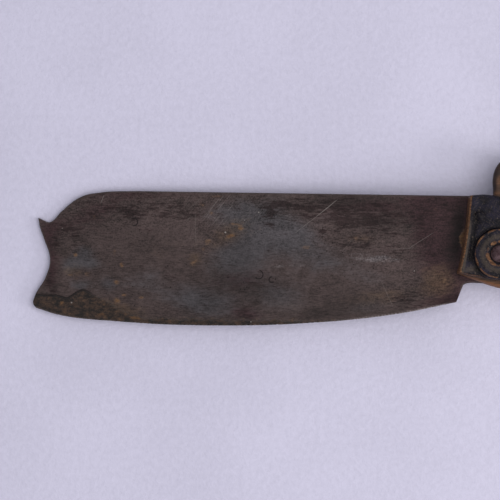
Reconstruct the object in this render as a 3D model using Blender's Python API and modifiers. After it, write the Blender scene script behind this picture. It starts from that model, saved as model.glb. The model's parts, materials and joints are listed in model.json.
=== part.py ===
"""A broad, straight-backed knife with a hooked and hollowed end, and a riveted, layered handle.

The knife is drawn in its own plane: X runs from the tip to the pommel, Y from the cutting edge to the
spine, and Z is the thickness. X = Y = 0 is where the spine meets the front of the handle, and Z = 0 is
the middle of the steel. An empty then lays the finished knife on the ground the way it comes to rest.

Layers from the middle out, the same on the left (+Z) and on the right (-Z): the blade with its full tang,
a wooden scale, a horn cheek, and the washers on the cheek that the rivets are peened over.
"""

import math

import bmesh
import bpy
from mathutils import Matrix, Vector

MM = 0.001

# ---- thicknesses, in millimetres ----
TANG_HALF = 1.9           # half the thickness of the steel inside the handle
LAYER_GAP = 0.15          # old glue and dirt between two layers
WOOD_THICK = 4.3
HORN_THICK = 5.4
WOOD_MIDDLE = TANG_HALF + LAYER_GAP + WOOD_THICK / 2
HORN_MIDDLE = WOOD_MIDDLE + WOOD_THICK / 2 + LAYER_GAP + HORN_THICK / 2
HORN_OUTER = HORN_MIDDLE + HORN_THICK / 2

# ---- the blade's grind ----
RICASSO_END = -6.0        # in front of here the blade starts to thin
GRIND_START = -34.0       # and from here to the tip its sides are flat
THINNING_TO_TIP = 0.0030  # half thickness lost per mm along the blade
THINNING_TO_EDGE = 0.0155  # half thickness lost per mm from spine to edge
EDGE_HALF = 0.15          # half the thickness that is left at the cutting edge
EDGE_BEVEL = 4.0          # width of the sharpened bevel

# ---- the cheeks ----
CHEEK_ROUNDING = 1.8      # of the outer rim
LIP_WIDTH = 3.0           # of the raised lip along the front
GROOVE_RADIUS = 0.6       # of the groove behind it

# ---- rivets and washers: places in the knife's plane, and radii ----
BORE_PLAY = 0.2           # between a shank and its hole
BOSS_AT = (12.5, -26.3)
BOSS_SHANK = 2.4
BOSS_HEAD = 4.0
BOSS_HEAD_RISE = 1.0
BOSS_WASHER = 11.2
COUNTERBORE = 11.6
COUNTERBORE_DEPTH = 1.0
GRIP_RIVETS = {"front": (62.0, -20.0), "rear": (108.0, -20.5)}
GRIP_SHANK = 1.7
GRIP_HEAD = 3.1
GRIP_HEAD_RISE = 1.1
GRIP_WASHER = 5.2
GRIP_WASHER_THICK = 0.8

# ---- how the knife lies: nose down, and tipped a little towards its spine ----
REST_PITCH = 3.48
REST_ROLL = -2.67

ROUND_STEPS = 24
CURVE_STEPS = 3

# ---- outlines: x, y, and how the line passes the point, smooth or as a corner ----
S, C = "AUTO", "VECTOR"
SPINE_AND_TIP = [
    (-142.0, 0.0, C), (-154.0, -0.1, S), (-167.0, -0.8, S), (-176.2, -3.0, S), (-185.1, -9.9, S),
    (-189.6, -14.5, S), (-191.3, -14.2, S), (-194.4, -12.3, S), (-195.4, -13.9, S), (-192.7, -22.0, S),
    (-189.7, -31.5, S), (-191.6, -39.5, S), (-196.3, -48.2, S), (-196.9, -51.6, S),
]
CUTTING_EDGE = [
    (-195.6, -53.4, C), (-185.0, -56.4, S), (-160.0, -58.8, S), (-118.0, -60.0, S), (-67.0, -57.7, S),
    (-31.5, -53.2, S), (-6.4, -47.7, C),
]
HEEL = [(-3.4, -39.9, C), (-2.2, -39.3, S)]
TANG = [
    (4.3, -39.0, S), (13.0, -39.9, S), (25.0, -42.2, S), (38.0, -41.0, S), (50.0, -36.7, S),
    (65.0, -32.7, S), (85.0, -31.7, S), (103.0, -34.7, S), (114.0, -39.2, S), (121.5, -41.7, S),
    (128.3, -37.4, S), (132.7, -28.7, S), (134.7, -18.0, S), (133.7, -8.2, S), (130.4, -2.2, S),
    (124.0, -0.3, S), (112.0, -2.8, S), (95.0, -5.3, S), (75.0, -6.8, S), (55.0, -6.3, S),
    (40.5, -3.3, S), (32.4, 2.4, S), (28.8, 8.5, S), (24.6, 14.8, S), (18.5, 17.4, S),
    (13.4, 14.9, S), (11.1, 12.0, S), (10.1, 8.0, S), (10.3, 3.0, S), (10.4, -1.2, C),
    (3.0, -1.2, C), (1.5, 0.0, C),
]
WOOD = [
    (-5.4, -34.8, C), (-0.9, -1.0, C), (9.6, -1.0, C), (9.5, 3.5, S), (9.3, 8.0, S),
    (10.4, 12.3, S), (13.0, 15.6, S), (18.5, 18.2, S), (25.0, 15.5, S), (29.5, 9.0, S),
    (33.0, 3.0, S), (40.5, -2.5, S), (55.0, -5.5, S), (75.0, -6.0, S), (95.0, -4.5, S),
    (112.0, -2.0, S), (124.0, 0.5, S), (131.0, -1.5, S), (134.5, -8.0, S), (135.5, -18.0, S),
    (133.5, -29.0, S), (129.0, -38.0, S), (121.5, -42.5, S), (114.0, -40.0, S), (103.0, -35.5, S),
    (85.0, -32.5, S), (65.0, -33.5, S), (50.0, -37.5, S), (38.0, -41.8, S), (25.0, -43.0, S),
    (13.0, -40.8, S), (5.0, -38.6, S),
]
HORN = [
    (-4.8, -34.9, C), (-0.2, -0.4, C), (6.0, 0.1, S), (12.8, -0.9, S), (20.0, -3.6, S),
    (30.0, -6.0, S), (45.0, -7.4, S), (60.0, -7.8, S), (80.0, -7.6, S), (100.0, -6.0, S),
    (115.0, -3.6, S), (124.0, -1.8, S), (130.0, -4.0, S), (132.7, -10.0, S), (133.3, -19.0, S),
    (131.2, -29.0, S), (126.8, -36.8, S), (121.0, -40.0, S), (113.0, -37.8, S), (103.0, -33.5, S),
    (85.0, -30.7, S), (65.0, -31.7, S), (50.0, -35.5, S), (38.0, -39.5, S), (26.0, -40.5, S),
    (13.3, -38.0, S), (4.3, -36.7, S),
]


def clear_scene():
    for obj in list(bpy.data.objects):
        bpy.data.objects.remove(obj)


def collection(name):
    made = bpy.data.collections.new(name)
    bpy.context.scene.collection.children.link(made)
    return made


def material(name, colour, roughness, metallic=0.0):
    made = bpy.data.materials.new(name)
    made.use_nodes = True
    shader = made.node_tree.nodes["Principled BSDF"]
    shader.inputs["Base Color"].default_value = (*colour, 1.0)
    shader.inputs["Roughness"].default_value = roughness
    shader.inputs["Metallic"].default_value = metallic
    return made


def add(name, mesh, into, made_of=None):
    obj = bpy.data.objects.new(name, mesh)
    into.objects.link(obj)
    if made_of:
        mesh.materials.append(made_of)
    return obj


def add_cutter(name, mesh, into):
    obj = add(name, mesh, into)
    obj.hide_render = True
    obj.display_type = "WIRE"
    return obj


def outline(name, knots, closed=True):
    """A flat curve through the knots."""
    curve = bpy.data.curves.new(name, "CURVE")
    curve.dimensions = "2D"
    curve.resolution_u = CURVE_STEPS
    spline = curve.splines.new("BEZIER")
    spline.bezier_points.add(len(knots) - 1)
    spline.use_cyclic_u = closed
    for point, (x, y, passing) in zip(spline.bezier_points, knots):
        point.co = (x * MM, y * MM, 0.0)
        point.handle_left_type = point.handle_right_type = passing
    return curve


def mesh_of(curve, name):
    """The curve's mesh, with its caps welded on and each flat side as one face."""
    holder = bpy.data.objects.new(name, curve)
    bpy.context.scene.collection.objects.link(holder)
    graph = bpy.context.evaluated_depsgraph_get()
    mesh = bpy.data.meshes.new_from_object(holder.evaluated_get(graph))
    bpy.data.objects.remove(holder)
    mesh.name = name
    bm = bmesh.new()
    bm.from_mesh(mesh)
    bmesh.ops.remove_doubles(bm, verts=bm.verts, dist=0.001 * MM)
    bmesh.ops.dissolve_limit(bm, angle_limit=math.radians(0.1), verts=bm.verts, edges=bm.edges)
    bm.to_mesh(mesh)
    bm.free()
    return mesh


def plate(name, knots, middle, thick, into, made_of):
    """A flat piece of this outline, with the middle of its thickness at this height."""
    curve = outline(name, knots)
    curve.fill_mode = "BOTH"
    curve.extrude = thick / 2 * MM
    mesh = mesh_of(curve, name)
    mesh.transform(Matrix.Translation((0, 0, middle * MM)))
    mesh.shade_smooth()
    mesh.set_sharp_from_angle(angle=math.radians(35))
    return add(name, mesh, into, made_of)


def round_rim(obj, height, radius):
    """Rounds the rim of the flat side at this height."""
    bm = bmesh.new()
    bm.from_mesh(obj.data)
    weight = bm.edges.layers.float.new("bevel_weight_edge")
    for edge in bm.edges:
        edge[weight] = float(all(abs(v.co.z - height * MM) < 0.01 * MM for v in edge.verts))
    bm.to_mesh(obj.data)
    bm.free()
    bevel = obj.modifiers.new("rounding", "BEVEL")
    bevel.limit_method = "WEIGHT"
    bevel.width = radius * MM
    bevel.segments = 3


def cut(obj, cutters, operation="DIFFERENCE"):
    for cutter in cutters:
        step = obj.modifiers.new(cutter.name, "BOOLEAN")
        step.operation = operation
        step.object = cutter
        step.solver = "EXACT"


def rod(name, radius, length, place, sides, into):
    """A cylinder for cutting, along the Z axis of this place."""
    bm = bmesh.new()
    bmesh.ops.create_cone(
        bm, cap_ends=True, segments=sides, radius1=radius * MM, radius2=radius * MM, depth=length * MM,
        matrix=place,
    )
    mesh = bpy.data.meshes.new(name)
    bm.to_mesh(mesh)
    bm.free()
    return add_cutter(name, mesh, into)


def at_height(spot, height):
    return Matrix.Translation(Vector((spot[0], spot[1], height)) * MM)


def turned(name, profile, spot, into, made_of):
    """A round piece about the vertical through the spot, from radius and height, outer side downwards."""
    mesh = bpy.data.meshes.new(name)
    corners = [(radius * MM, 0.0, height * MM) for radius, height in profile]
    mesh.from_pydata(corners, [(i, i + 1) for i in range(len(corners) - 1)], [])
    obj = add(name, mesh, into, made_of)
    obj.matrix_world = at_height(spot, 0.0)
    screw = obj.modifiers.new("turning", "SCREW")
    screw.steps = screw.render_steps = ROUND_STEPS
    screw.use_merge_vertices = True
    screw.merge_threshold = 0.00001
    weld = obj.modifiers.new("closing", "WELD")
    weld.merge_threshold = 0.00001
    return obj


def below(profile):
    """The same profile on the right of the knife."""
    return [(radius, -height) for radius, height in reversed(profile)]


def half_thickness(x, y):
    """Half the blade's thickness: that of the tang at the handle, and flat-ground towards tip and edge."""
    share = min(max((RICASSO_END - x) / (RICASSO_END - GRIND_START), 0.0), 1.0)
    eased = share * share * (3 - 2 * share)
    thinning = THINNING_TO_TIP * (RICASSO_END - x) - THINNING_TO_EDGE * y
    return TANG_HALF - eased * max(thinning, 0.0)


def grind(into):
    """The blade's thickness everywhere: a loft of sections from past the tip to past the pommel."""
    spine, above_lobe, below_edge, past_tip, past_pommel = 0.0, 25.0, 70.0, 5.0, 140.0
    overshoot = 0.4
    edge_line = mesh_of(outline("edge_line", CUTTING_EDGE, closed=False), "edge_line")
    edge = [(v.co.x / MM, v.co.y / MM) for v in edge_line.vertices]
    (toe_x, toe_y), (heel_x, _) = edge[0], edge[-1]
    stations = [(toe_x - past_tip, toe_y), *edge, (heel_x + 1.0, -below_edge), (past_pommel, -below_edge)]
    bm = bmesh.new()
    rings = []
    for x, y in stations:
        side = [
            (above_lobe, half_thickness(x, spine)), (spine, half_thickness(x, spine)),
            (y + EDGE_BEVEL, half_thickness(x, y + EDGE_BEVEL)), (y - overshoot, EDGE_HALF),
        ]
        ring = side + [(v, -z) for v, z in reversed(side)]
        rings.append([bm.verts.new(Vector((x, v, z)) * MM) for v, z in ring])
    for near, far in zip(rings, rings[1:]):
        for k in range(len(near)):
            bm.faces.new((near[k], near[k - 1], far[k - 1], far[k]))
    bm.faces.new(rings[0])
    bm.faces.new(rings[-1])
    bmesh.ops.recalc_face_normals(bm, faces=bm.faces)
    mesh = bpy.data.meshes.new("grind")
    bm.to_mesh(mesh)
    bm.free()
    return add_cutter("grind", mesh, into)


def make_blade(parts, cutters, bores, steel):
    stock = 2 * TANG_HALF + 1.0
    blade = plate("blade", SPINE_AND_TIP + CUTTING_EDGE + HEEL + TANG, 0.0, stock, parts, steel)
    cut(blade, [grind(cutters)], "INTERSECT")
    cut(blade, bores)


def make_bores(cutters):
    through = 4 * HORN_OUTER
    spots = {"boss": (BOSS_AT, BOSS_SHANK), **{k: (at, GRIP_SHANK) for k, at in GRIP_RIVETS.items()}}
    return [
        rod(f"{name}_bore", shank + BORE_PLAY, through, at_height(at, 0.0), ROUND_STEPS, cutters)
        for name, (at, shank) in spots.items()
    ]


def make_lip_groove(side, sign, cutters):
    """A rod laid in the cheek's outer face, along its front and behind the lip."""
    foot, head = Vector(HORN[0][:2]), Vector(HORN[1][:2])
    along = (head - foot).normalized()
    spot = (foot + head) / 2 + Vector((along.y, -along.x)) * (LIP_WIDTH + GROOVE_RADIUS)
    turn = Vector((0, 0, 1)).rotation_difference(along.to_3d()).to_matrix().to_4x4()
    place = at_height(spot, sign * HORN_OUTER) @ turn
    return rod(f"lip_groove_{side}", GROOVE_RADIUS, 2 * (head - foot).length, place, 12, cutters)


def make_side(side, sign, parts, cutters, bores, wood, horn):
    """One side's wooden scale, and its horn cheek with a counterbore for the big washer."""
    scale = plate(f"wood_scale_{side}", WOOD, sign * WOOD_MIDDLE, WOOD_THICK, parts, wood)
    cut(scale, bores)

    cheek = plate(f"horn_cheek_{side}", HORN, sign * HORN_MIDDLE, HORN_THICK, parts, horn)
    round_rim(cheek, sign * HORN_OUTER, CHEEK_ROUNDING)
    seat = rod(
        f"counterbore_{side}", COUNTERBORE, 2 * COUNTERBORE_DEPTH, at_height(BOSS_AT, sign * HORN_OUTER),
        ROUND_STEPS, cutters,
    )
    cut(cheek, [make_lip_groove(side, sign, cutters), seat, *bores])


def rivet(name, spot, shank, head, under, rise, into, made_of):
    """A rod with a domed head peened on each end; under is the height of a head's underside."""
    top = [
        (0.0, under + rise), (0.55 * head, under + 0.8 * rise), (0.9 * head, under + 0.4 * rise),
        (head, under), (shank, under),
    ]
    turned(name, top + below(top), spot, into, made_of)


def make_boss(parts, horn, iron):
    """The big rivet and its two domed washers, which dip towards the hole and hold the heads in a hollow."""
    low = HORN_OUTER - COUNTERBORE_DEPTH + LAYER_GAP
    hole = BOSS_SHANK + BORE_PLAY
    dip, ring, shoulder = low + 1.9, low + 2.9, low + 1.7
    washer = [
        (hole, dip - 0.4), (BOSS_HEAD + 0.2, dip), (BOSS_HEAD + 1.1, ring), (BOSS_HEAD + 1.9, ring),
        (BOSS_WASHER - 3.0, low + 2.3), (BOSS_WASHER - 0.9, shoulder), (BOSS_WASHER, low + 1.0),
        (BOSS_WASHER, low), (hole, low), (hole, dip - 0.4),
    ]
    turned("boss_washer_left", washer, BOSS_AT, parts, horn)
    turned("boss_washer_right", below(washer), BOSS_AT, parts, horn)
    rivet("boss_rivet", BOSS_AT, BOSS_SHANK, BOSS_HEAD, dip + LAYER_GAP, BOSS_HEAD_RISE, parts, iron)


def make_grip_rivet(place, spot, parts, iron):
    low = HORN_OUTER + LAYER_GAP
    high = low + GRIP_WASHER_THICK
    hole = GRIP_SHANK + BORE_PLAY
    washer = [
        (hole, high), (GRIP_WASHER - 0.5, high), (GRIP_WASHER, low + 0.3), (GRIP_WASHER, low),
        (hole, low), (hole, high),
    ]
    turned(f"grip_washer_{place}_left", washer, spot, parts, iron)
    turned(f"grip_washer_{place}_right", below(washer), spot, parts, iron)
    rivet(
        f"grip_rivet_{place}", spot, GRIP_SHANK, GRIP_HEAD, high + LAYER_GAP, GRIP_HEAD_RISE, parts, iron,
    )


def lay_down(parts, cutters):
    """Tips the knife as it lies, with its lowest point at Z = 0 and its box centred on X = Y = 0."""
    bpy.context.view_layer.update()
    graph = bpy.context.evaluated_depsgraph_get()
    pitch = Matrix.Rotation(math.radians(-REST_PITCH), 4, "Y")
    tip = Matrix.Rotation(math.radians(REST_ROLL), 4, "X") @ pitch
    spots = []
    for obj in parts.objects:
        mesh = obj.evaluated_get(graph).data
        spots += [tip @ obj.matrix_world @ v.co for v in mesh.vertices]
    low = Vector([min(p[k] for p in spots) for k in range(3)])
    high = Vector([max(p[k] for p in spots) for k in range(3)])
    middle = (low + high) / 2
    lay = bpy.data.objects.new("knife", None)
    bpy.context.scene.collection.objects.link(lay)
    lay.matrix_world = Matrix.Translation((-middle.x, -middle.y, -low.z)) @ tip
    for obj in [*parts.objects, *cutters.objects]:
        obj.parent = lay


def main():
    clear_scene()
    parts = collection("knife")
    cutters = collection("cutters")
    steel = material("patinated_steel", (0.075, 0.062, 0.060), 0.45, 0.7)
    wood = material("brown_hardwood", (0.13, 0.065, 0.035), 0.6)
    horn = material("black_horn", (0.022, 0.021, 0.025), 0.4)
    iron = material("rivet_iron", (0.07, 0.05, 0.05), 0.4, 0.8)

    bores = make_bores(cutters)
    make_blade(parts, cutters, bores, steel)
    make_side("left", 1, parts, cutters, bores, wood, horn)
    make_side("right", -1, parts, cutters, bores, wood, horn)
    make_boss(parts, horn, iron)
    for place, spot in GRIP_RIVETS.items():
        make_grip_rivet(place, spot, parts, iron)
    lay_down(parts, cutters)


main()
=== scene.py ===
"""The looks of a broad-bladed knife: fine meshes with worn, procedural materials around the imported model.

Shapes are made in the knife's own axes, in millimetres: X from the tip to the pommel, Y from the cutting
edge to the spine, Z out of the left side. Zero is where the spine meets the front of the handle, in the
middle of the steel. knife_axes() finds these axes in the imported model, and every piece is placed by them.
"""

import json
import math

import bmesh
import bpy
import numpy as np
from mathutils import Matrix, Vector, kdtree, noise
from mathutils.geometry import delaunay_2d_cdt

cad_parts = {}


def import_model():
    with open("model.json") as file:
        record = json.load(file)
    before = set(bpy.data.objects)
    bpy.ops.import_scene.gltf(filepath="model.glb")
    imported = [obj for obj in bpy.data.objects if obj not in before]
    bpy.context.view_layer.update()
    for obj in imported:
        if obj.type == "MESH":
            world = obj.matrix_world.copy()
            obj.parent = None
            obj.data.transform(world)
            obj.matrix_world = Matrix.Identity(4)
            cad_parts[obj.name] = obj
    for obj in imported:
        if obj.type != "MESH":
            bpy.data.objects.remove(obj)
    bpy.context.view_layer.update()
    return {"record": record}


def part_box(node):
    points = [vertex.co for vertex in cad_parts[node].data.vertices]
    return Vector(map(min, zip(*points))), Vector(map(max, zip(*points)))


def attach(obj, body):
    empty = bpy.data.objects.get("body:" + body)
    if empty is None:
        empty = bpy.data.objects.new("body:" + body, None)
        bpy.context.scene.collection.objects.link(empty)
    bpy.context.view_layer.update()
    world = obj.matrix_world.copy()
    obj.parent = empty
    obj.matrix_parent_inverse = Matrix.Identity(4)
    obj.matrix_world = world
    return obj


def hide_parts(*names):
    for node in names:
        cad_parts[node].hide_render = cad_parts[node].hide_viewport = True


MM = 0.001

# ---- the design's own sizes, in millimetres ----
TANG_HALF = 1.9
LAYER_GAP = 0.15
WOOD_THICK = 4.3
HORN_THICK = 5.4
WOOD_INNER = TANG_HALF + LAYER_GAP
WOOD_OUTER = WOOD_INNER + WOOD_THICK
HORN_INNER = WOOD_OUTER + LAYER_GAP
HORN_OUTER = HORN_INNER + HORN_THICK
RICASSO_END = -6.0
GRIND_START = -34.0
THINNING_TO_TIP = 0.0030
THINNING_TO_EDGE = 0.0155
EDGE_HALF = 0.12
EDGE_BEVEL = 4.0
BOSS_AT = (12.5, -26.3)
BOSS_SHANK = 2.4
BOSS_HEAD = 4.0
BOSS_HEAD_RISE = 1.15
BOSS_WASHER = 11.2
BOSS_WASHER_THICK = 1.9
COUNTERBORE = 11.6
COUNTERBORE_DEPTH = 1.0
GRIP_RIVETS = {"front": (62.0, -20.0), "rear": (108.0, -20.5)}
GRIP_SHANK = 1.7
GRIP_HEAD = 3.1
GRIP_HEAD_RISE = 1.1
GRIP_WASHER = 5.2
GRIP_WASHER_THICK = 0.8
BORE_PLAY = 0.2
BORES = [(BOSS_AT, BOSS_SHANK + BORE_PLAY)] + [(at, GRIP_SHANK + BORE_PLAY) for at in GRIP_RIVETS.values()]
BOSS_SEAT = HORN_OUTER - COUNTERBORE_DEPTH

# ---- the distance between mesh points, in millimetres, along the rim and inside it ----
BLADE_RIM_STEP = 0.6
BLADE_STEP = 1.0
HORN_RIM_STEP = 0.5
HORN_STEP = 0.55
WOOD_RIM_STEP = 0.7
WOOD_STEP = 1.3
BOSS_PROFILE_STEP = 0.22
GRIP_PROFILE_STEP = 0.2

# ---- an edge that turns by more than this many degrees stays sharp ----
SHARP_ANGLE = 40.0

# ---- the stage: the camera in millimetres and degrees, then the paper, the sky and the lamps in metres ----
VIEW_WIDTH = 225.0
CAMERA_HEIGHT = 1500.0
AIM = (-99.4, -25.75)
CAMERA_TURN = 0.9
PAPER_REACH = 3.0
PAPER_COLOUR = (0.66, 0.64, 0.79, 1.0)
SKY_COLOUR = (0.93, 0.95, 1.0, 1.0)
SKY_STRENGTH = 0.47
LAMP_COLOUR = (1.0, 0.97, 0.95)
LAMPS_LOOK_AT = (-0.06, 0.0, 0.0)
LAMPS = [
    # name, place, width and watts
    ("key", (0.30, -0.10, 1.14), 1.20, 7.0),
    ("low_light", (0.94, -0.22, 0.46), 0.40, 3.0),
]

# ---- outlines: x, y, and how the line passes the point, smooth or as a corner ----
S, C = "AUTO", "VECTOR"
SPINE_AND_TIP = [
    (-142, 0, C), (-154, -0.1, S), (-167, -0.8, S), (-176.2, -3, S), (-185.1, -9.9, S), (-188.9, -14, S),
    (-190.6, -14.7, S), (-192.9, -13.8, S), (-195.4, -12.7, C), (-194.5, -17, S), (-192.7, -22, S),
    (-189.7, -31.5, S), (-191.6, -39.5, S), (-196.3, -48.2, S), (-196.9, -51.6, S),
]
CUTTING_EDGE = [
    (-195.6, -53.4, C), (-185, -56.4, S), (-160, -58.8, S), (-118, -60, S), (-67, -57.7, S),
    (-31.5, -53.2, S), (-6.4, -47.7, C),
]
HEEL = [(-3.4, -39.9, C), (-2.2, -39.3, S)]
TANG = [
    (4.3, -39, S), (13, -39.9, S), (25, -42.2, S), (38, -41, S), (50, -36.7, S), (65, -32.7, S),
    (85, -31.7, S), (103, -34.7, S), (114, -39.2, S), (121.5, -41.7, S), (128.3, -37.4, S),
    (132.7, -28.7, S), (134.7, -18, S), (133.7, -8.2, S), (130.4, -2.2, S), (124, -0.3, S), (112, -2.8, S),
    (95, -5.3, S), (75, -6.8, S), (55, -6.3, S), (40.5, -3.3, S), (32.4, 2.4, S), (28.8, 8.5, S),
    (24.6, 14.8, S), (18.5, 17.4, S), (13.4, 14.9, S), (11.1, 12, S), (10.1, 8, S), (10.3, 3, S),
    (10.4, -1.2, C), (3, -1.2, C), (1.5, 0, C),
]
WOOD = [
    (-6.2, -34.8, C), (-5.2, -31, S), (-4.3, -26.5, S), (-2.6, -14, S), (-1.9, -5, S), (-1.6, -1, C),
    (9.6, -1, C), (9.5, 3.5, S), (9.3, 8, S), (10.4, 12.3, S), (13, 15.6, S), (18.5, 18.2, S),
    (25, 15.5, S), (29.5, 9, S), (33, 3, S), (40.5, -2.5, S), (55, -5.5, S), (75, -6, S), (95, -4.5, S),
    (112, -2, S), (124, 0.5, S), (131, -1.5, S), (134.5, -8, S), (135.5, -18, S), (133.5, -29, S),
    (129, -38, S), (121.5, -42.5, S), (114, -40, S), (103, -35.5, S), (85, -32.5, S), (65, -33.5, S),
    (50, -37.5, S), (38, -41.8, S), (25, -43, S), (13, -40.8, S), (5, -38.6, S),
]
HORN_FRONT = [
    (-5.6, -34.9, C), (-4.6, -31, S), (-3.7, -26.5, S), (-2, -14, S), (-1.3, -5, S), (-0.9, -0.4, C),
]
HORN = HORN_FRONT + [
    (6, 0.1, S), (12.8, -0.9, S), (20, -3.6, S), (30, -6, S), (45, -7.4, S), (60, -7.8, S), (80, -7.6, S),
    (100, -6, S), (115, -3.6, S), (124, -1.8, S), (130, -4, S), (132.7, -10, S), (133.3, -19, S),
    (131.2, -29, S), (126.8, -36.8, S), (121, -40, S), (113, -37.8, S), (103, -33.5, S), (85, -30.7, S),
    (65, -31.7, S), (50, -35.5, S), (38, -39.5, S), (26, -40.5, S), (13.3, -38, S), (4.3, -36.7, S),
]


# ---- the left side's marks: strength, x, y, width, height, and for some a turn in degrees ----
MARKS = {
    "blue": [
        (0.55, -174.5, -27.5, 5, 4), (0.5, -180, -34, 5, 5), (0.45, -171, -33, 6, 4),
        (0.5, -175.5, -43, 6, 3), (0.4, -163, -42, 5, 4), (0.65, -99, -10, 19, 9),
        (0.65, -84, -20, 16, 8), (0.4, -104, -27, 12, 6), (0.6, -121, -50, 17, 8, -8),
        (0.3, -148, -40, 14, 8), (0.4, -66, -30, 15, 7), (0.4, -86, -46, 17, 8), (0.4, -108, -34, 15, 8),
        (0.35, -46, -50, 13, 5, 8), (0.25, -44, -37, 12, 5),
    ],
    "purple": [
        (0.45, -190, -22, 6, 12), (0.45, -189, -39, 3.5, 12, 10), (0.4, -170, -10, 16, 6, 20),
        (0.5, -101, -55, 7, 5), (0.3, -104, -40, 16, 6), (0.35, -40, -5, 30, 6), (0.5, -14, -14, 14, 16),
        (0.3, -6, -36, 8, 14), (0.3, -150, -1.5, 26, 2.5),
    ],
    "warm": [
        (0.3, -124, -31, 4, 4), (0.35, -178, -37, 7, 3), (0.1, -141, -28, 14, 8), (0.45, -14, -38, 9, 8),
        (0.1, -82, -50, 16, 7), (0.5, -160, -54, 16, 5, -8), (0.35, -110, -19, 12, 6, 30),
        (0.3, -40, -46, 22, 5, 8), (0.3, -50, -20, 9, 3),
    ],
    "soot": [
        (1, -90.3, -8.8, 1.9, 2.2), (0.6, -90.5, -14.2, 2.6, 1), (0.5, -84, -5.5, 12, 1.8),
        (0.45, -53, -11.5, 17, 4), (0.7, -66.8, -17, 0.9, 1.8), (0.2, -50, -22.5, 16, 1.8),
        (0.45, -153.5, -10.5, 5, 3), (0.45, -180, -17.5, 8, 3.2), (0.4, -187.5, -23, 2, 3),
        (0.3, -133, -9, 14, 4), (0.35, -36, -28, 9, 2), (0.45, -101, -56, 5, 3), (0.35, -28, -46, 9, 4),
        (0.35, -190, -40, 2.5, 9, 10), (0.3, -13, -8, 9, 5), (0.22, -42, -14, 22, 12),
        (0.22, -160, -7, 24, 5), (0.22, -72, -6, 20, 5),
    ],
    "light": [
        (0.1, -137, -13, 15, 8), (0.1, -97, -21, 9, 7), (0.5, -12, -38, 6, 7), (0.25, -181, -41, 6, 5),
        (0.15, -72, -16, 9, 8), (0.1, -114, -13, 10, 8), (0.2, -35, -35, 10, 3),
    ],
    # darker patches of the steel; the two strokes at x -8 and -5.4 are a painted shadow that the handle's
    # front casts on the blade
    "dark": [
        (0.45, -52, -3, 22, 3.5), (0.3, -34, -11, 12, 5), (0.35, -108, -41, 17, 7),
        (0.25, -90, -44, 12, 6), (0.3, -54, -47, 15, 5), (0.5, -67, -54, 17, 4, 6),
        (0.3, -188, -54, 7, 3, -8), (0.7, -8, -20, 3.6, 20, -6), (0.2, -172, -18, 12, 5),
        (0.6, -5.4, -16, 1.8, 15, -7), (0.3, -42, -13, 11, 5), (0.1, -42, -28, 9, 5),
        (0.25, -62, -4, 15, 4), (0.2, -146, -21, 17, 6), (0.25, -102, -20, 9, 12),
        (0.15, -138, -28, 10, 5), (0.2, -114, -52, 18, 7),
    ],
    "chalk": [
        (0.35, -168.5, -45, 2.6, 1, -50), (0.35, -165, -47.5, 3.4, 0.9, 25), (0.3, -171, -44, 1, 2.4, 20),
        (0.4, -87, -32.9, 5, 0.9), (0.35, -77, -32.3, 6, 1.1), (0.38, -48, -28.5, 14, 2.8),
        (0.28, -37, -29.5, 9, 2.2), (0.2, -62, -23, 14, 3.5), (0.2, -86, -36, 2, 4),
    ],
    "rust": [
        (0.75, -178.1, -29.2, 1.2, 1.4), (0.85, -157.1, -33.2, 1.1, 1.4), (0.8, -159.3, -41.3, 1.7, 1.4),
        (0.75, -155.6, -46.9, 1.8, 0.9), (0.8, -148, -47.9, 1.4, 1), (0.8, -159, -49.5, 1.9, 1.3),
        (0.65, -169.9, -12, 1, 1), (0.65, -180.3, -38.3, 2.2, 0.7), (0.6, -172.4, -37.7, 2.4, 1.4),
        (0.5, -177.5, -40, 2.2, 1), (0.5, -160.6, -27.5, 1.2, 2.4), (0.75, -165.7, -56, 3, 0.8, -4),
        (0.85, -150.7, -57, 3.5, 0.8, -3), (0.6, -183.8, -51, 1.6, 1.6), (0.7, -114, -1.8, 4.5, 0.8, 8),
        (0.55, -121.3, -5.8, 1.4, 1.8), (0.75, -117, -9.6, 1.4, 1), (0.65, -107, -14.3, 3.6, 0.8, 6),
        (0.75, -103.8, -16, 1.8, 1.2, 20), (0.95, -108.3, -19.6, 2.4, 1.1, 8),
        (0.6, -118.5, -22.4, 2, 1.5), (0.6, -120.4, -25.6, 1.8, 1.2), (0.55, -124.6, -32, 2.2, 1.8),
        (0.55, -73.8, -24.2, 3.6, 1.2), (0.5, -16.3, -6.3, 1.4, 1), (1, -3.8, -19.3, 1.8, 2.4),
        (0.7, -3.6, -18.5, 0.9, 7, -7), (0.45, -52, -20, 5, 1.2), (0.55, -12, -38.5, 2.4, 1.6),
    ],
}
SCRATCHES = [
    ((-80, -18.5), (-62, -4.2), 0.13, 0.35), ((-70.5, -11), (-60, -2.2), 0.15, 0.55),
    ((-118, -8.6), (-113.4, -2.6), 0.12, 0.4), ((-113.6, -4.2), (-111.4, -1.2), 0.12, 0.4),
    ((-110.3, -3.2), (-108.5, -0.9), 0.12, 0.4), ((-126, -6.9), (-121.2, -1.9), 0.10, 0.3),
    ((-124.4, -8), (-123.7, -24.7), 0.16, 0.16), ((-29, -24.6), (-16.5, -16.4), 0.11, 0.4),
    ((-37, -24.7), (-25, -23.6), 0.10, 0.3), ((-40.5, -38), (-34.2, -51.3), 0.10, 0.25),
    ((-165.6, -1.8), (-167.2, -5.8), 0.14, 0.5), ((-58, -26), (-53, -20), 0.08, 0.25),
    ((-110.9, -17.8), (-110.2, -18.3), 0.45, 0.9), ((-102.1, -12.4), (-101.7, -12.5), 0.3, 0.8),
    ((-95.9, -8.6), (-95.4, -9), 0.4, 0.7), ((-98.6, -58.1), (-98.1, -58.1), 0.3, 0.9),
    ((-25.6, -34), (-25.2, -34.1), 0.4, 0.8), ((-179.9, -50.9), (-179.2, -50.7), 0.4, 0.8),
    ((-184.5, -17.2), (-184.2, -17.4), 0.3, 0.6),
]
RING_MARKS = [((-95.2, -36.8), 1.9, 150), ((-89.2, -39), 1.3, 20), ((-152, -14), 1.7, 190)]


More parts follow.
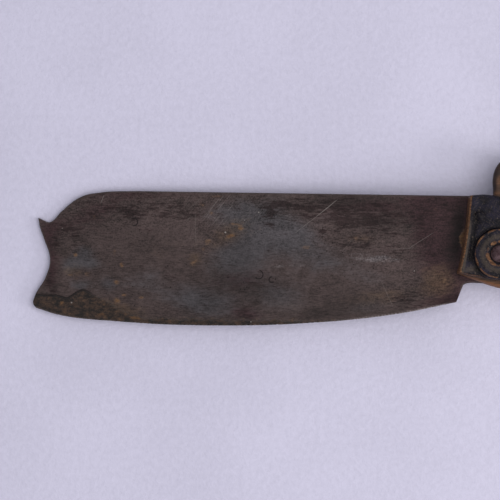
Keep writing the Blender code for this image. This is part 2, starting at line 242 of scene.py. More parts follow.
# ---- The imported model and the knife's axes ----

def knife_axes(record):
    """The knife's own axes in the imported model, as a matrix."""
    face = {mount["name"]: Vector(mount["axis"]) for mount in record["mounts"]}
    out_left = (face["blade_left_face"] - face["blade_right_face"]).normalized()
    to_spine = face["spine"].normalized()
    to_pommel = to_spine.cross(out_left)
    low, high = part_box("boss_rivet")
    zero = (low + high) / 2 - (to_pommel * BOSS_AT[0] + to_spine * BOSS_AT[1]) * MM
    axes = Matrix((to_pommel, to_spine, out_left)).transposed().to_4x4()
    return Matrix.Translation(zero) @ axes


# ---- Lines and flat-plan geometry, in millimetres ----

def resample(points, corners, spacing):
    """Evenly spaced points round a closed line, with a point on each corner."""
    starts = sorted({int(np.argmin(np.hypot(*(points - corner).T))) for corner in corners}) or [0]
    evened = []
    for a, b in zip(starts, starts[1:] + [starts[0] + len(points)]):
        run = points[np.arange(a, b + 1) % len(points)]
        along = np.concatenate([[0.0], np.cumsum(np.hypot(*np.diff(run, axis=0).T))])
        steps = max(int(round(along[-1] / spacing)), 1)
        at = np.arange(steps) / steps * along[-1]
        evened.append(np.column_stack([np.interp(at, along, run[:, k]) for k in (0, 1)]))
    return np.vstack(evened)


def drawn_line(knots, closed=True):
    """Close points on Blender's own smooth curve through the knots."""
    curve = bpy.data.curves.new("line", "CURVE")
    curve.dimensions = "2D"
    curve.fill_mode = "NONE"
    curve.resolution_u = 24
    spline = curve.splines.new("BEZIER")
    spline.bezier_points.add(len(knots) - 1)
    spline.use_cyclic_u = closed
    for point, (x, y, passing) in zip(spline.bezier_points, knots):
        point.co = (x, y, 0.0)
        point.handle_left_type = point.handle_right_type = passing
    holder = bpy.data.objects.new("line", curve)
    bpy.context.scene.collection.objects.link(holder)
    mesh = bpy.data.meshes.new_from_object(holder.evaluated_get(bpy.context.evaluated_depsgraph_get()))
    points = np.array([v.co[:2] for v in mesh.vertices])
    bpy.data.objects.remove(holder)
    bpy.data.curves.remove(curve)
    bpy.data.meshes.remove(mesh)
    return points


def outline(knots, spacing):
    """A closed outline, anticlockwise."""
    corners = np.array([(x, y) for x, y, passing in knots if passing == C]).reshape(-1, 2)
    rim = resample(drawn_line(knots), corners, spacing)
    x, y = rim.T
    turned_left = np.sum(x * np.roll(y, -1) - y * np.roll(x, -1)) > 0
    return rim if turned_left else rim[::-1]


def outward(rim):
    """The outward direction at each point of an anticlockwise outline."""
    along = np.roll(rim, -1, axis=0) - np.roll(rim, 1, axis=0)
    along /= np.hypot(*along.T)[:, None]
    return np.column_stack([along[:, 1], -along[:, 0]])


def inside(points, rim):
    """Which of the points are inside the outline."""
    ax, ay = rim.T
    bx, by = np.roll(rim, -1, axis=0).T
    slope = (bx - ax) / np.where(by == ay, 1e-9, by - ay)
    found = []
    for part in np.array_split(points, max(len(points) // 2000, 1)):
        x, y = part[:, :1], part[:, 1:]
        crossing = ((ay > y) != (by > y)) & (x < ax + (y - ay) * slope)
        found.append(crossing.sum(axis=1) % 2 == 1)
    return np.concatenate(found)


def distance(points, line):
    """How far each point is from the nearest point of a line."""
    tree = kdtree.KDTree(len(line))
    for i, (x, y) in enumerate(line):
        tree.insert((x, y, 0.0), i)
    tree.balance()
    return np.array([tree.find((x, y, 0.0))[2] for x, y in points])


def ring(middle, radius, spacing):
    steps = max(int(2 * math.pi * radius / spacing), 8)
    turn = np.arange(steps) / steps * 2 * math.pi
    return np.column_stack([middle[0] + radius * np.cos(turn), middle[1] + radius * np.sin(turn)])


def lumps(x, y, size, seed=0.0):
    """Smooth noise from about -1 to 1, whose lumps are this many millimetres across."""
    wide, tall = size if isinstance(size, tuple) else (size, size)
    return np.array([noise.noise(Vector((a / wide, b / tall, seed))) for a, b in zip(x, y)])


def ease(value, low, high):
    """0 below low, 1 above high, and smooth between them."""
    share = np.clip((np.asarray(value, float) - low) / (high - low), 0.0, 1.0)
    return share * share * (3 - 2 * share)


def bump_at(x, y, middle, size, angle=0.0):
    """A soft round hill of height 1 around a point."""
    wide, tall = size if isinstance(size, tuple) else (size, size)
    c, s = math.cos(math.radians(angle)), math.sin(math.radians(angle))
    across, up = x - middle[0], y - middle[1]
    return np.exp(-((across * c + up * s) / wide) ** 2 - ((up * c - across * s) / tall) ** 2)


def stroke(x, y, strength, middle_x, middle_y, wide, tall, turn=0.0):
    """One soft mark on the blade, as MARKS lists it."""
    return strength * bump_at(x, y, (middle_x, middle_y), (wide, tall), turn)


def ridge(value, middle, width):
    """1 where a value is at its middle, such as a circle's radius, and softly down to 0 on both sides."""
    return np.exp(-((value - middle) / width) ** 2)


def rounding(inset, radius):
    """How far a rounded rim has dropped at this distance in from it."""
    within = radius - np.clip(inset, 0.0, radius)
    return radius - np.sqrt(np.maximum(radius ** 2 - within ** 2, 0.0))


# ---- Meshes ----

def relief(name, rim, surface, spacing, insets, guides=(), wall_rows=4, bulge=0.0):
    """A closed piece over an outline. surface(x, y, inset) gives the heights of its top and underside."""
    normal = outward(rim)
    rings = []
    for inset in insets:
        points = rim - normal * inset
        rings.append(points[inside(points, rim) & (distance(points, rim) > 0.92 * inset)])
    clear = insets[-1] + 0.45 * spacing
    guide = np.vstack(guides) if guides else np.zeros((0, 2))
    if len(guide):
        guide = guide[inside(guide, rim)]
        guide = guide[distance(guide, rim) > insets[-1] + 0.15]
    low, high = rim.min(axis=0), rim.max(axis=0)
    row_gap = spacing * math.sqrt(3) / 2
    x, y = np.meshgrid(np.arange(low[0], high[0], spacing), np.arange(low[1], high[1], row_gap))
    x[1::2] += spacing / 2
    grid = np.column_stack([x.ravel(), y.ravel()])
    grid = grid[inside(grid, rim)]
    grid = grid[distance(grid, rim) > clear]
    if len(guide):
        grid = grid[distance(grid, guide) > 0.6 * spacing]
    points = np.vstack([rim, *rings, guide, grid])
    inset = np.concatenate([
        np.zeros(len(rim)), *[np.full(len(r), d) for r, d in zip(rings, insets)],
        distance(guide, rim) if len(guide) else [], distance(grid, rim),
    ])
    count, around = len(points), len(rim)
    border = [(i, (i + 1) % around) for i in range(around)]
    _, _, triangles, origin, _, _ = delaunay_2d_cdt([Vector(p) for p in points], border, [], 1, 1e-5)
    first = [o[0] for o in origin]
    triangles = np.array([[first[v] for v in t] for t in triangles])
    a, b, c = (points[triangles[:, k]] for k in range(3))
    area = (b - a)[:, 0] * (c - a)[:, 1] - (b - a)[:, 1] * (c - a)[:, 0]
    triangles[area < 0] = triangles[area < 0][:, ::-1]

    top, under = surface(points[:, 0], points[:, 1], inset)
    layers = [np.column_stack([points, top]), np.column_stack([points, under])]
    for k in range(1, wall_rows):
        share = k / wall_rows
        out = rim + normal * bulge * math.sin(math.pi * share)
        height = top[:around] * (1 - share) + under[:around] * share
        layers.append(np.column_stack([out, height]))
    starts = [0] + [2 * count + k * around for k in range(wall_rows - 1)] + [count]
    faces = triangles.tolist() + (triangles[:, ::-1] + count).tolist()
    for above, below in zip(starts, starts[1:]):
        faces += [
            (below + i, below + (i + 1) % around, above + (i + 1) % around, above + i) for i in range(around)
        ]
    mesh = bpy.data.meshes.new(name)
    mesh.from_pydata(np.vstack(layers) * MM, [], faces)
    mesh.validate()
    return mesh


def turned(name, profile, steps=96):
    """A round piece about the Z axis, from a smooth profile of radius and height, outer side downwards."""
    mesh = bpy.data.meshes.new(name)
    edges = [(i, i + 1) for i in range(len(profile) - 1)]
    mesh.from_pydata([(r * MM, 0.0, z * MM) for r, z in profile], edges, [])
    holder = bpy.data.objects.new(name, mesh)
    bpy.context.scene.collection.objects.link(holder)
    screw = holder.modifiers.new("turning", "SCREW")
    screw.steps = screw.render_steps = steps
    screw.use_merge_vertices = True
    screw.merge_threshold = 1e-6
    weld = holder.modifiers.new("closing", "WELD")
    weld.merge_threshold = 1e-6
    made = bpy.data.meshes.new_from_object(holder.evaluated_get(bpy.context.evaluated_depsgraph_get()))
    bpy.data.objects.remove(holder)
    made.name = name
    return made


def bored(mesh):
    """The mesh with the rivets' round holes."""
    cutters = bmesh.new()
    for (x, y), radius in BORES:
        bmesh.ops.create_cone(
            cutters, cap_ends=True, segments=64, radius1=radius * MM, radius2=radius * MM, depth=0.1,
            matrix=Matrix.Translation((x * MM, y * MM, 0.0)),
        )
    cutter_mesh = bpy.data.meshes.new("bores")
    cutters.to_mesh(cutter_mesh)
    cutters.free()
    cutter = bpy.data.objects.new("bores", cutter_mesh)
    holder = bpy.data.objects.new(mesh.name, mesh)
    for obj in (cutter, holder):
        bpy.context.scene.collection.objects.link(obj)
    drill = holder.modifiers.new("bores", "BOOLEAN")
    drill.object = cutter
    drill.solver = "EXACT"
    made = bpy.data.meshes.new_from_object(holder.evaluated_get(bpy.context.evaluated_depsgraph_get()))
    for obj in (cutter, holder):
        bpy.data.objects.remove(obj)
    made.name = mesh.name
    return made


def spots(mesh):
    """A mesh's points in the knife's axes, in millimetres."""
    flat = np.zeros(len(mesh.vertices) * 3, np.float32)
    mesh.vertices.foreach_get("co", flat)
    return (flat.reshape(-1, 3) / MM).T.astype(float)


def move_spots(mesh, x, y, z):
    mesh.vertices.foreach_set("co", (np.column_stack([x, y, z]) * MM).astype(np.float32).ravel())
    mesh.update()


def paint(mesh, name, values):
    """Keeps a value from 0 to 1 at each point, for the material to read."""
    layer = mesh.attributes.new(name, "FLOAT", "POINT")
    layer.data.foreach_set("value", np.asarray(values, np.float32))


def place(mesh, axes, material, node):
    """Puts a piece in the scene for the CAD node that it stands for."""
    obj = bpy.data.objects.new(f"{node}_fine", mesh)
    bpy.context.scene.collection.objects.link(obj)
    mesh.materials.clear()
    mesh.materials.append(material)
    mesh.shade_smooth()
    mesh.set_sharp_from_angle(angle=math.radians(SHARP_ANGLE))
    obj.matrix_world = axes
    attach(obj, "root")
    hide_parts(node)
    return obj


# ---- Materials ----

def tint(red, green, blue):
    """A colour given as 0 to 255 on a screen, as the linear values that a shader wants."""
    shares = [value / 255 for value in (red, green, blue)]
    return (*[v / 12.92 if v <= 0.04045 else ((v + 0.055) / 1.055) ** 2.4 for v in shares], 1.0)


class Shader:
    """Writes a material's nodes. Sizes are in millimetres, in the piece's own axes."""

    def __init__(self, name, stretch=(1.0, 1.0, 1.0)):
        self.material = bpy.data.materials.new(name)
        self.material.use_nodes = True
        self.tree = self.material.node_tree
        self.surface = self.tree.nodes["Principled BSDF"]
        here = self.node("ShaderNodeTexCoord").outputs["Object"]
        scaled = self.node("ShaderNodeMapping")
        scaled.inputs["Scale"].default_value = [1 / MM * s for s in stretch]
        self.feed(scaled.inputs["Vector"], here)
        self.spot = scaled.outputs["Vector"]

    def node(self, kind, **settings):
        made = self.tree.nodes.new(kind)
        for key, value in settings.items():
            setattr(made, key, value)
        return made

    def feed(self, socket, value):
        if isinstance(value, bpy.types.NodeSocket):
            self.tree.links.new(value, socket)
        elif value is not None:
            socket.default_value = value

    def maths(self, operation, first, second=None, clamp=False):
        made = self.node("ShaderNodeMath", operation=operation, use_clamp=clamp)
        self.feed(made.inputs[0], first)
        self.feed(made.inputs[1], second)
        return made.outputs[0]

    def add(self, *values):
        total = values[0]
        for value in values[1:]:
            total = self.maths("ADD", total, value)
        return total

    def times(self, *values):
        total = values[0]
        for value in values[1:]:
            total = self.maths("MULTIPLY", total, value)
        return total

    def step(self, value, low, high, to_low=0.0, to_high=1.0):
        made = self.node("ShaderNodeMapRange", interpolation_type="SMOOTHSTEP")
        for socket, given in zip(made.inputs[:5], (value, low, high, to_low, to_high)):
            self.feed(socket, given)
        return made.outputs[0]

    def attribute(self, name):
        return self.node("ShaderNodeAttribute", attribute_name=name).outputs["Fac"]

    def placed(self, size, seed=0.0, turn=0.0):
        """The place divided by a size in X, Y and Z, for a pattern whose marks have that size."""
        wide = size if isinstance(size, tuple) else (size, size, size)
        turned_first = self.node("ShaderNodeMapping")
        turned_first.inputs["Rotation"].default_value = (0.0, 0.0, math.radians(turn))
        self.feed(turned_first.inputs["Vector"], self.spot)
        made = self.node("ShaderNodeMapping")
        made.inputs["Scale"].default_value = [1 / w for w in wide]
        made.inputs["Location"].default_value = (seed, seed * 1.7, seed * 0.6)
        self.feed(made.inputs["Vector"], turned_first.outputs["Vector"])
        return made.outputs["Vector"]

    def noise(self, size, seed=0.0, detail=3.0, roughness=0.5, distortion=0.0, turn=0.0):
        made = self.node("ShaderNodeTexNoise")
        made.inputs["Scale"].default_value = 1.0
        made.inputs["Detail"].default_value = detail
        made.inputs["Roughness"].default_value = roughness
        made.inputs["Distortion"].default_value = distortion
        self.feed(made.inputs["Vector"], self.placed(size, seed, turn))
        return made.outputs[0]

    def cells(self, size, seed=0.0):
        """The distance from the middle of the nearest cell."""
        made = self.node("ShaderNodeTexVoronoi")
        made.inputs["Scale"].default_value = 1.0
        self.feed(made.inputs["Vector"], self.placed(size, seed))
        return made.outputs[0]

    def mix(self, share, first, second, blend="MIX"):
        made = self.node("ShaderNodeMix", data_type="RGBA", blend_type=blend)
        self.feed(made.inputs[0], share)
        self.feed(made.inputs[6], first)
        self.feed(made.inputs[7], second)
        return made.outputs[2]

    def shade(self, colour, factor):
        """The colour made brighter or darker by a factor around 1."""
        grey = self.node("ShaderNodeCombineColor")
        for k in range(3):
            self.feed(grey.inputs[k], factor)
        return self.mix(1.0, colour, grey.outputs[0], "MULTIPLY")

    def bump(self, height, depth):
        """A bump whose height of 1 is this deep, in millimetres."""
        made = self.node("ShaderNodeBump")
        made.inputs["Distance"].default_value = depth * MM
        made.inputs["Strength"].default_value = 1.0
        self.feed(made.inputs["Height"], height)
        return made.outputs["Normal"]

    def scratch(self, start, end, width):
        """1 on a straight scratch between two points, and 0 away from it."""
        (x1, y1), (x2, y2) = start, end
        length = math.hypot(x2 - x1, y2 - y1)
        along = self.node("ShaderNodeMapping", vector_type="TEXTURE")
        along.inputs["Location"].default_value = ((x1 + x2) / 2, (y1 + y2) / 2, 0.0)
        along.inputs["Rotation"].default_value = (0.0, 0.0, math.atan2(y2 - y1, x2 - x1))
        self.feed(along.inputs["Vector"], self.spot)
        parts = self.node("ShaderNodeSeparateXYZ")
        self.feed(parts.inputs[0], along.outputs["Vector"])
        near = self.step(self.maths("ABSOLUTE", parts.outputs[1]), width, width * 0.3)
        within = self.step(self.maths("ABSOLUTE", parts.outputs[0]), length / 2, length / 2 * 0.7)
        on_left = self.step(parts.outputs[2], 0.0, 0.1)
        return self.times(near, within, on_left)

    def crescent(self, middle, radius, width, turn):
        """1 on an open ring round a point of the left side, with its gap turned to one side."""
        near = self.node("ShaderNodeMapping", vector_type="TEXTURE")
        near.inputs["Location"].default_value = (*middle, 0.0)
        near.inputs["Rotation"].default_value = (0.0, 0.0, math.radians(turn))
        self.feed(near.inputs["Vector"], self.spot)
        parts = self.node("ShaderNodeSeparateXYZ")
        self.feed(parts.inputs[0], near.outputs["Vector"])
        across, up, out = parts.outputs
        reach = self.maths("SQRT", self.add(self.times(across, across), self.times(up, up)))
        off_ring = self.maths("ABSOLUTE", self.maths("SUBTRACT", reach, radius))
        band = self.step(off_ring, width, width * 0.3)
        return self.times(band, self.step(across, radius * 0.6, radius * 0.1), self.step(out, 0.0, 0.1))

    def finish(self, colour, roughness, metallic, normal, specular=0.5):
        self.feed(self.surface.inputs["Base Color"], colour)
        self.feed(self.surface.inputs["Roughness"], roughness)
        self.feed(self.surface.inputs["Metallic"], metallic)
        self.feed(self.surface.inputs["Normal"], normal)
        self.surface.inputs["Specular IOR Level"].default_value = specular
        return self.material


def steel_material():
    """Old forged steel: a brown and blue-grey patina in wisps, with rust, scratches and a crusted toe, a
    painted shadow by the handle's front and painted highlights along the spine and the cutting edge.
    """
    s = Shader("blade_patina", stretch=(1.0, 1.0, 20.0))
    cloud = s.noise((22, 12, 60), seed=3.0, detail=7.0, roughness=0.62, distortion=0.6)
    wisps = s.noise((6.5, 1.9, 60), seed=8.0, detail=7.0, roughness=0.68, distortion=0.4)
    mottle = s.noise((2.2, 1.3, 60), seed=12.0, detail=6.0, roughness=0.7)
    grain = s.noise((3.0, 0.55, 60), seed=1.0, detail=4.0, roughness=0.7)
    speckle = s.noise(0.75, seed=2.0, detail=3.0, roughness=0.75)

    cool = s.step(s.add(s.attribute("blue"), s.times(cloud, 0.9), s.times(mottle, 0.35)), 0.72, 1.25)
    colour = s.mix(cool, tint(74, 62, 61), tint(72, 68, 71))
    purple = s.step(s.add(s.attribute("purple"), s.times(cloud, 0.5), s.times(wisps, 0.6)), 0.6, 1.15)
    colour = s.mix(purple, colour, tint(58, 40, 43))
    warm = s.step(s.add(s.attribute("warm"), s.times(mottle, 0.5), s.times(cloud, 0.6)), 0.65, 0.98)
    colour = s.mix(s.times(warm, 0.6), colour, tint(84, 67, 53))
    streak = s.noise((4.2, 0.75, 60), seed=5.0, detail=5.0, roughness=0.62)
    soot = s.add(s.times(s.attribute("soot"), 0.8), s.times(wisps, 1.1), s.times(streak, 1.5))
    smudge = s.step(soot, 1.42, 1.72)
    colour = s.mix(s.times(smudge, 0.8), colour, tint(36, 24, 25))
    pale = s.step(s.add(s.attribute("chalk"), s.times(streak, 0.9), s.times(speckle, 0.6)), 0.98, 1.4)
    colour = s.mix(s.times(pale, 0.6), colour, tint(124, 117, 119))
    tone = s.add(
        s.times(mottle, 0.7), s.times(wisps, 0.6), s.times(grain, 0.8), s.times(cloud, 0.8),
        s.times(s.add(speckle, -0.5), s.attribute("grit"), 1.5),
    )
    # lighter and darker patches of the steel; the 'dark' share also carries the painted shadow of the
    # handle's front
    broad = s.add(1.0, s.times(s.attribute("light"), 0.8), s.times(s.attribute("dark"), -0.8))
    colour = s.shade(colour, s.times(broad, s.step(tone, 1.02, 1.88, 0.31, 1.49)))

    ragged = s.add(s.attribute("crust"), s.times(s.add(wisps, mottle), 0.34))
    crust = s.step(ragged, 0.76, 0.92)
    tidemark = s.times(s.step(ragged, 0.68, 0.80), s.step(ragged, 1.06, 0.88), s.attribute("tideline"))
    flakes = s.noise((3.4, 2.2, 60), seed=23.0, detail=7.0, roughness=0.75)
    crusty = s.mix(s.step(flakes, 0.40, 0.53), tint(17, 12, 11), tint(54, 39, 31))
    crusty = s.mix(s.step(flakes, 0.53, 0.66), crusty, tint(80, 58, 41))
    crusty = s.shade(crusty, s.step(s.add(mottle, speckle), 0.8, 1.2, 0.5, 1.4))
    colour = s.mix(s.times(crust, 0.92), colour, crusty)
    colour = s.mix(s.times(tidemark, 0.95), colour, tint(20, 13, 13))

    rust = s.step(s.add(s.attribute("rust"), s.times(mottle, 0.9), s.times(speckle, 0.4)), 0.92, 1.4)
    rusty = s.mix(s.step(mottle, 0.35, 0.65), tint(76, 49, 30), tint(112, 80, 48))
    colour = s.mix(s.times(rust, 0.75), colour, rusty)
    pits = s.cells(2.1, seed=19.0)
    pit = s.times(s.step(pits, 0.2, 0.08), s.step(s.noise(12, seed=37.0), 0.48, 0.6))
    colour = s.mix(s.times(pit, 0.7), colour, tint(26, 20, 20))

    hairs = s.step(s.noise((7, 0.32, 60), seed=51.0, detail=2.0, turn=-52.0), 0.58, 0.72)
    scratches = s.times(hairs, s.attribute("scratched"), 0.3)
    for start, end, width, strength in SCRATCHES:
        scratches = s.maths("MAXIMUM", scratches, s.times(s.scratch(start, end, width), strength))
    colour = s.mix(scratches, colour, tint(150, 142, 138))
    for middle, radius, turn in RING_MARKS:
        colour = s.mix(s.times(s.crescent(middle, radius, 0.42, turn), 0.9), colour, tint(24, 18, 20))

    # lighter along the cutting edge: bare honed steel with a painted highlight on the bevel
    colour = s.mix(s.times(s.attribute("honed_and_glint"), s.step(speckle, 0.35, 0.6)), colour, tint(150, 142, 144))
    # a painted highlight along the spine and the upper outline
    colour = s.mix(s.times(s.attribute("rim"), 0.5), colour, tint(92, 82, 80))
    corroded = s.maths("MAXIMUM", crust, rust)
    rough = s.step(s.add(wisps, s.times(speckle, 0.5)), 0.5, 1.0, 0.46, 0.60)
    rough = s.maths("MAXIMUM", rough, s.times(corroded, 0.85))
    metal = s.step(corroded, 0.0, 1.0, 0.72, 0.1)
    height = s.add(
        s.times(mottle, 0.5), s.times(grain, 0.3), s.times(speckle, 0.3), s.times(pit, -1.2),
        s.times(scratches, -0.6), s.times(crust, s.times(flakes, 2.5)), s.times(rust, 0.5),
    )
    return s.finish(colour, rough, metal, s.bump(height, 0.05))


def horn_material():
    """Black horn: near-black with a blue tint that is partly a painted sheen, polished by hands, brown,
    ragged and fibrous where it is worn thin, with dirt and painted shade in its grooves, dents and joints.
    """
    s = Shader("black_horn_worn")
    cloud = s.noise((7, 4, 4), seed=2.0, detail=6.0, roughness=0.65)
    fibres = s.noise((6, 0.5, 1.2), seed=4.0, detail=4.0, roughness=0.6, turn=12.0)
    ragged = s.noise(1.3, seed=16.0, detail=5.0, roughness=0.7)
    grit = s.noise(0.4, seed=6.0, detail=3.0, roughness=0.65)
    # the near-black is tinted blue, partly a painted sheen of blue reflected light
    colour = s.mix(s.step(cloud, 0.38, 0.62), tint(13, 12, 21), tint(32, 29, 44))
    tone = s.add(s.times(fibres, 0.6), s.times(grit, 0.6), s.times(ragged, 0.5))
    colour = s.shade(colour, s.step(tone, 0.6, 1.1, 0.5, 1.5))
    dusty = s.step(s.add(s.attribute("dust"), s.times(ragged, 0.6), s.times(cloud, 0.4)), 0.6, 1.1)
    colour = s.mix(s.times(dusty, 0.75), colour, tint(84, 74, 66))
    worn = s.step(s.add(s.attribute("wear"), s.times(ragged, 0.7), s.times(grit, 0.3)), 0.88, 1.2)
    bare = s.mix(s.step(fibres, 0.35, 0.65), tint(82, 50, 32), tint(140, 101, 70))
    colour = s.mix(s.times(worn, 0.9), colour, s.shade(bare, s.step(grit, 0.3, 0.7, 0.6, 1.35)))
    # darkest where dirt sits and where shade is painted in grooves, dents and joints
    colour = s.mix(s.times(s.attribute("grime_and_crevice_shade"), 0.9), colour, tint(9, 7, 9))
    nicks = s.maths(
        "MAXIMUM", s.step(s.noise((3.4, 0.34, 0.5), seed=15.0, detail=3.0, turn=35.0), 0.56, 0.68),
        s.step(s.noise((2.6, 0.30, 0.5), seed=25.0, detail=3.0, turn=-62.0), 0.57, 0.69),
    )
    colour = s.mix(s.times(nicks, 0.4), colour, tint(92, 84, 82))
    flecks = s.step(s.noise(0.7, seed=31.0, detail=3.0, roughness=0.7), 0.58, 0.70)
    colour = s.mix(s.times(flecks, 0.55), colour, tint(128, 112, 98))
    rough = s.step(s.add(s.times(cloud, 0.5), s.times(grit, 0.5)), 0.35, 0.65, 0.34, 0.58)
    height = s.add(
        cloud, s.times(fibres, 0.6), s.times(grit, 0.4), s.times(nicks, -0.7), s.times(ragged, 1.2),
    )
    return s.finish(colour, rough, 0.0, s.bump(height, 0.26), specular=0.16)


def wood_material():
    """Brown hardwood with long pores, orange where it is rubbed, and dark where dirt has settled and where
    shade is painted along its joints and the lobe's edges.
    """
    s = Shader("brown_wood_worn")
    rings = s.noise((40, 2.2, 2.2), seed=1.0, detail=3.0, roughness=0.55, distortion=0.6)
    pores = s.noise((7, 0.3, 0.3), seed=7.0, detail=3.0, roughness=0.6)
    grit = s.noise(0.4, seed=9.0, detail=2.0, roughness=0.6)
    colour = s.mix(s.step(rings, 0.35, 0.65), tint(54, 36, 27), tint(98, 66, 46))
    colour = s.shade(colour, s.step(s.add(s.times(pores, 0.7), s.times(grit, 0.3)), 0.35, 0.65, 0.6, 1.25))
    worn = s.step(s.add(s.attribute("wear"), s.times(pores, 0.5)), 0.6, 1.15)
    colour = s.mix(s.times(worn, 0.75), colour, tint(128, 84, 52))
    # dark where dirt sits and where shade is painted along joints and the lobe's edges
    grime_and_crevice_shade = s.step(s.add(s.attribute("grime_and_crevice_shade"), s.times(rings, 0.4)), 0.5, 1.0)
    colour = s.mix(s.times(grime_and_crevice_shade, 0.85), colour, tint(30, 20, 20))
    crack = s.step(s.noise((14, 0.35, 0.35), seed=12.0, detail=1.0), 0.30, 0.25)
    colour = s.mix(s.times(crack, 0.8), colour, tint(22, 14, 12))
    height = s.add(s.times(pores, 0.7), s.times(grit, 0.2), s.times(crack, -1.0))
    rough = s.step(pores, 0.3, 0.7, 0.7, 0.5)
    return s.finish(colour, rough, 0.0, s.bump(height, 0.12), specular=0.35)


def iron_material():
    """Peened iron: purple-brown, hammered, and brightest on the crowns of the heads."""
    s = Shader("rivet_iron_aged")
    cloud = s.noise(2.4, seed=3.0, detail=5.0, roughness=0.6)
    grit = s.noise(0.35, seed=5.0, detail=3.0, roughness=0.6)
    colour = s.mix(s.step(cloud, 0.38, 0.62), tint(52, 36, 40), tint(88, 70, 74))
    rust = s.step(s.add(s.attribute("wear"), s.times(s.noise(0.9, seed=8.0, detail=4.0), 0.7)), 0.75, 1.1)
    colour = s.mix(s.times(rust, 0.7), colour, tint(112, 74, 44))
    colour = s.shade(colour, s.step(grit, 0.3, 0.7, 0.75, 1.25))
    height = s.add(s.times(cloud, 0.8), s.times(grit, 0.4))
    rough = s.step(cloud, 0.3, 0.7, 0.42, 0.60)
    return s.finish(colour, rough, s.step(rust, 0.0, 1.0, 0.8, 0.2), s.bump(height, 0.08))


# ---- Pieces ----

def blade_half(x, y):
    """Half the blade's thickness before its edge is sharpened."""
    eased = ease(-x, -RICASSO_END, -GRIND_START)
    thinning = THINNING_TO_TIP * (RICASSO_END - x) - THINNING_TO_EDGE * np.minimum(y, 0.0)
    return TANG_HALF - eased * np.maximum(thinning, 0.0)


def worn_edge(rim, edge):
    """The blade's outline with the small dents and dullness that use leaves along its edge."""
    near = distance(rim, edge) < 0.4
    nick = np.clip(lumps(rim[:, 0], rim[:, 1] * 0.0, 2.3, seed=4.0) - 0.25, 0.0, 1.0) * 0.5
    wave = lumps(rim[:, 0], rim[:, 1] * 0.0, 11.0, seed=9.0) * 0.12
    inward = np.where(near, nick + wave, 0.04 * lumps(rim[:, 0], rim[:, 1], 5.0, seed=2.0))
    inward *= ease(-rim[:, 0], 6.0, 12.0)
    return rim - outward(rim) * inward[:, None]


def make_blade(axes, material):
    edge = drawn_line(CUTTING_EDGE, closed=False)
    rim = worn_edge(outline(SPINE_AND_TIP + CUTTING_EDGE + HEEL + TANG, BLADE_RIM_STEP), edge)

    def surface(x, y, inset):
        points = np.column_stack([x, y])
        sharpened = np.clip(distance(points, edge) / EDGE_BEVEL, 0.0, 1.0)
        half = EDGE_HALF + (blade_half(x, y) - EDGE_HALF) * sharpened
        radius = 0.45 * np.clip(half / TANG_HALF, 0.2, 1.0) * sharpened + 0.01
        half = half - rounding(inset, radius)
        free = ease(-x, 2.0, 10.0) * sharpened
        left = free * (0.045 * lumps(x, y, (20, 12), 1.0) + 0.012 * lumps(x, y, (5, 3), 2.0))
        right = free * (0.045 * lumps(x, y, (20, 12), 11.0) + 0.012 * lumps(x, y, (5, 3), 12.0))
        return half + left, -half - right

    mesh = bored(relief("blade", rim, surface, BLADE_STEP, (0.1, 0.25, 0.5, 0.9)))
    x, y, z = spots(mesh)
    left = z > 0
    points = np.column_stack([x, y])
    to_edge = distance(points, edge)
    to_rim = distance(points, rim)

    # The left side's marks are placed one by one; the right side has its own, scattered by noise.
    marks = {name: sum(stroke(x, y, *given) for given in strokes) for name, strokes in MARKS.items()}
    marks["purple"] = marks["purple"] + 0.5 * ease(x, -34, -8)
    other_side = {
        "blue": 0.25 + 0.5 * lumps(x, y, (34, 18), 31.0), "purple": 0.2 + 0.5 * lumps(x, y, (30, 12), 33.0),
        "warm": 0.2 + 0.4 * lumps(x, y, (18, 9), 36.0), "soot": 0.1 + 0.4 * lumps(x, y, (16, 6), 35.0),
        "light": 0.3 * lumps(x, y, (25, 9), 39.0), "dark": 0.3 * lumps(x, y, (22, 9), 43.0),
        "chalk": 0.3 * ease(lumps(x, y, (12, 4), 38.0), 0.2, 0.6),
        "rust": 0.9 * ease(lumps(x, y, 7.0, 37.0), 0.4, 0.7),
    }
    for name, values in marks.items():
        paint(mesh, name, np.clip(np.where(left, values, other_side[name]), 0, 1))
    knot = 2.6 * ridge(x, -174.5, 3.8) - 1.2 * ridge(x, -182, 3)
    crust_top = -47.6 + knot - 9.5 * ease(x, -172, -146) + 0.5 * lumps(x, y, 4.0, 44.0)
    blur = 5.0 + 9.0 * ease(x, -175, -160)
    paint(mesh, "crust", np.where(left, 0.5 + np.clip((crust_top - y) / blur, -0.5, 0.5), 0.0))
    paint(mesh, "tideline", ease(-x, 166, 174))
    paint(mesh, "scratched", np.where(left, bump_at(x, y, (-112, -9), (22, 9)), 0.4))
    along = ease(x, -75, -40) * ease(-x, 8, 14)
    paint(mesh, "grit", np.clip(0.45 + 0.55 * ease(y, -34, -14) + 0.4 * ease(x, -60, -30), 0, 1))
    # the cutting edge's band: bare honed steel with a painted highlight where the bevel catches light
    paint(mesh, "honed_and_glint", ease(-to_edge, -0.75, -0.2) * (0.2 + 0.8 * along))
    # a painted highlight along the spine and the upper outline
    paint(mesh, "rim", ease(-to_rim, -0.8, -0.1) * ease(y, -45, -40))
    return place(mesh, axes, material, "blade")


def behind_front(x, y):
    """How far a point lies behind the cheek's front edge."""
    front_x, front_y, _ = zip(*HORN_FRONT)
    return x - np.interp(y, front_y, front_x)


def lip_groove(y, back):
    """1 along the middle of the groove behind the cheek's raised front lip, fading out at both ends."""
    middle = 2.9 + 0.035 * (-y - 10.0)
    return ease(-y, 5.0, 11.0) * ease(y, -31.5, -27.0) * ridge(back, middle, 1.35)


